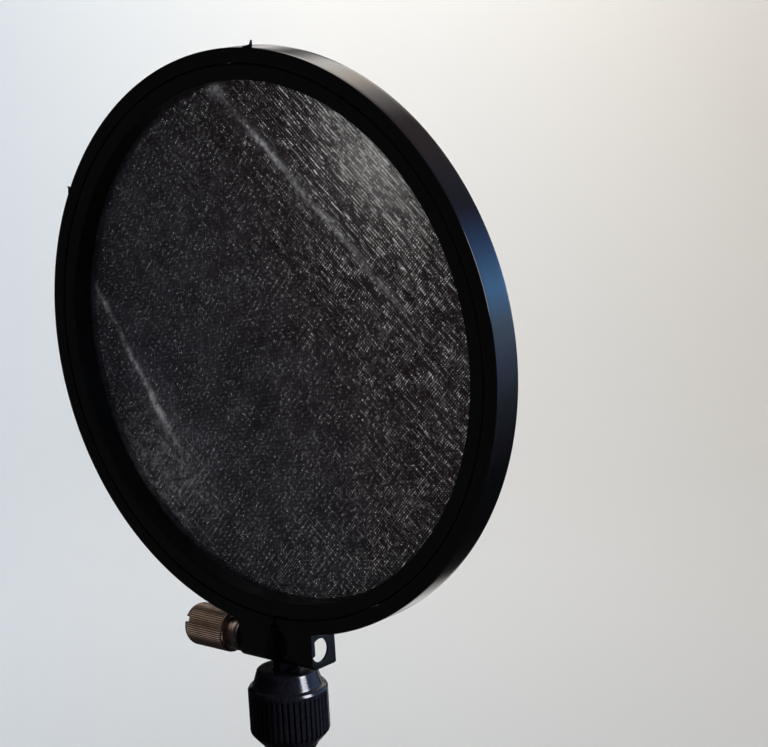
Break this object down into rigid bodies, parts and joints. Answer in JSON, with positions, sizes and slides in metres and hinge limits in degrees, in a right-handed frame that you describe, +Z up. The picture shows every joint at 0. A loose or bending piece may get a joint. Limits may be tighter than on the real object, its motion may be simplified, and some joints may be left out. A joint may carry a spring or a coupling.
{
  "type": "pop filter",
  "caption": "Round hoop pop filter with layered mesh, side thumb screw tilt pivot, ribbed swivel collar, flexible neck and a screw clamp for a microphone stand pole.",
  "frame": {"origin": "on the stand pole's axis, at mid-height of the clamp jaw", "axes": "+Z up along the pole, -Y towards the person speaking (front mesh faces -Y), +X to the right seen from the front; the neck leaves the clamp towards -X and rises to the hoop"},
  "size_m": [0.2585, 0.0388, 0.4211],
  "materials": {
    "gloss_black": "gloss black moulded plastic with faint turning marks",
    "satin_black": "satin black moulded plastic",
    "mesh_fabric": "fine black nylon mesh",
    "warm_nickel": "brushed nickel plate, fine straight knurl",
    "zinc_steel": "zinc plated steel",
    "white_fibre": "pale nylon washer",
    "black_metal": "black wound flexible tube and ferrules",
    "grip_rubber": "matte black rubber"
  },
  "bodies": {
    "clamp": {"clamp_body": "satin_black", "clamp_liner": "grip_rubber", "lock_nut": "zinc_steel", "lower_ferrule": "black_metal", "neck_section_1": "black_metal"},
    "neck_2": {"neck_section_2": "black_metal"},
    "neck_3": {"neck_section_3": "black_metal"},
    "neck_4": {"neck_section_4": "black_metal"},
    "neck_5": {"neck_section_5": "black_metal"},
    "neck_6": {"neck_section_6": "black_metal"},
    "neck_7": {"neck_section_7": "black_metal"},
    "neck_8": {"neck_section_8": "black_metal"},
    "neck_top": {"neck_section_9": "black_metal", "upper_ferrule": "black_metal", "friction_washer": "white_fibre"},
    "collar": {"lock_collar": "gloss_black"},
    "swivel": {"swivel_stem": "gloss_black"},
    "head": {"outer_hoop": "gloss_black", "inner_hoop": "gloss_black", "front_mesh": "mesh_fabric", "spacer_ring": "satin_black", "rear_mesh": "mesh_fabric", "rear_retainer": "satin_black", "hex_nut": "zinc_steel"},
    "screw_washer": {"screw_washer": "zinc_steel"},
    "thumb_screw": {"thumb_screw": "warm_nickel"},
    "pad": {"pressure_pad": "zinc_steel", "pad_rubber": "grip_rubber", "pad_retainer": "zinc_steel"},
    "spindle": {"clamp_spindle": "zinc_steel", "clamp_knob": "satin_black"}
  },
  "joints": [
    {"name": "neck_bend_1", "type": "hinge", "parent": "clamp", "child": "neck_2", "pos_m": [-0.06822, 0, 0.00429], "axis": [0, 1, 0], "range_deg": [-15, 15], "stiffness_Nm_per_rad": 2.5, "springref_deg": 2.18},
    {"name": "neck_sway_1", "type": "hinge", "parent": "neck_2", "child": "neck_3", "pos_m": [-0.09183, 0, 0.01992], "axis": [-0.7204, 0, -0.6935], "range_deg": [-12, 12], "stiffness_Nm_per_rad": 2.5, "springref_deg": -0.01},
    {"name": "neck_bend_2", "type": "hinge", "parent": "neck_3", "child": "neck_4", "pos_m": [-0.10655, 0, 0.04411], "axis": [0, 1, 0], "range_deg": [-15, 15], "stiffness_Nm_per_rad": 2.5, "springref_deg": 0.22},
    {"name": "neck_sway_2", "type": "hinge", "parent": "neck_4", "child": "neck_5", "pos_m": [-0.11, 0, 0.07228], "axis": [-1, 0, 0], "range_deg": [-12, 12], "stiffness_Nm_per_rad": 2.5, "springref_deg": -0.01},
    {"name": "neck_bend_3", "type": "hinge", "parent": "neck_5", "child": "neck_6", "pos_m": [-0.11, 0, 0.10082], "axis": [0, 1, 0], "range_deg": [-15, 15], "stiffness_Nm_per_rad": 2.5, "springref_deg": 0.06},
    {"name": "neck_sway_3", "type": "hinge", "parent": "neck_6", "child": "neck_7", "pos_m": [-0.11, 0, 0.12937], "axis": [-1, 0, 0], "range_deg": [-12, 12], "stiffness_Nm_per_rad": 2.5, "springref_deg": -0.01},
    {"name": "neck_bend_4", "type": "hinge", "parent": "neck_7", "child": "neck_8", "pos_m": [-0.11, 0, 0.15791], "axis": [0, 1, 0], "range_deg": [-15, 15], "stiffness_Nm_per_rad": 2.5, "springref_deg": 0.06},
    {"name": "neck_sway_4", "type": "hinge", "parent": "neck_8", "child": "neck_top", "pos_m": [-0.11, 0, 0.18646], "axis": [-1, 0, 0], "range_deg": [-12, 12], "stiffness_Nm_per_rad": 2.5, "springref_deg": -0.01},
    {"name": "head_pan", "type": "hinge", "parent": "neck_top", "child": "swivel", "pos_m": [-0.11, 0, 0.2323], "axis": [0, 0, 1], "continuous": true},
    {"name": "collar_turn", "type": "hinge", "parent": "neck_top", "child": "collar", "pos_m": [-0.11, 0, 0.2267], "axis": [0, 0, 1], "range_deg": [-15, 180]},
    {"name": "head_tilt", "type": "hinge", "parent": "swivel", "child": "head", "pos_m": [-0.11, 0, 0.2452], "axis": [1, 0, 0], "range_deg": [-20, 90]},
    {"name": "screw_travel", "type": "slide", "parent": "head", "child": "screw_washer", "axis": [-1, 0, 0], "range_m": [0, 0.0015]},
    {"name": "screw_turn", "type": "hinge", "parent": "screw_washer", "child": "thumb_screw", "pos_m": [-0.13, 0, 0.2452], "axis": [-1, 0, 0], "range_deg": [0, 1080]},
    {"name": "pad_travel", "type": "slide", "parent": "clamp", "child": "pad", "axis": [-1, 0, 0], "range_m": [-0.0075, 0.006]},
    {"name": "knob_turn", "type": "hinge", "parent": "pad", "child": "spindle", "pos_m": [0.05, 0, 0], "axis": [-1, 0, 0], "range_deg": [-2160, 1728]}
  ],
  "couplings": [
    {"joint": "neck_bend_2", "follows": "neck_bend_1", "ratio": 1},
    {"joint": "neck_sway_2", "follows": "neck_sway_1", "ratio": 1},
    {"joint": "neck_bend_3", "follows": "neck_bend_1", "ratio": 1},
    {"joint": "neck_sway_3", "follows": "neck_sway_1", "ratio": 1},
    {"joint": "neck_bend_4", "follows": "neck_bend_1", "ratio": 1},
    {"joint": "neck_sway_4", "follows": "neck_sway_1", "ratio": 1},
    {"joint": "screw_turn", "follows": "screw_travel", "rad_per_m": 12566},
    {"joint": "knob_turn", "follows": "pad_travel", "rad_per_m": 5026.5}
  ]
}
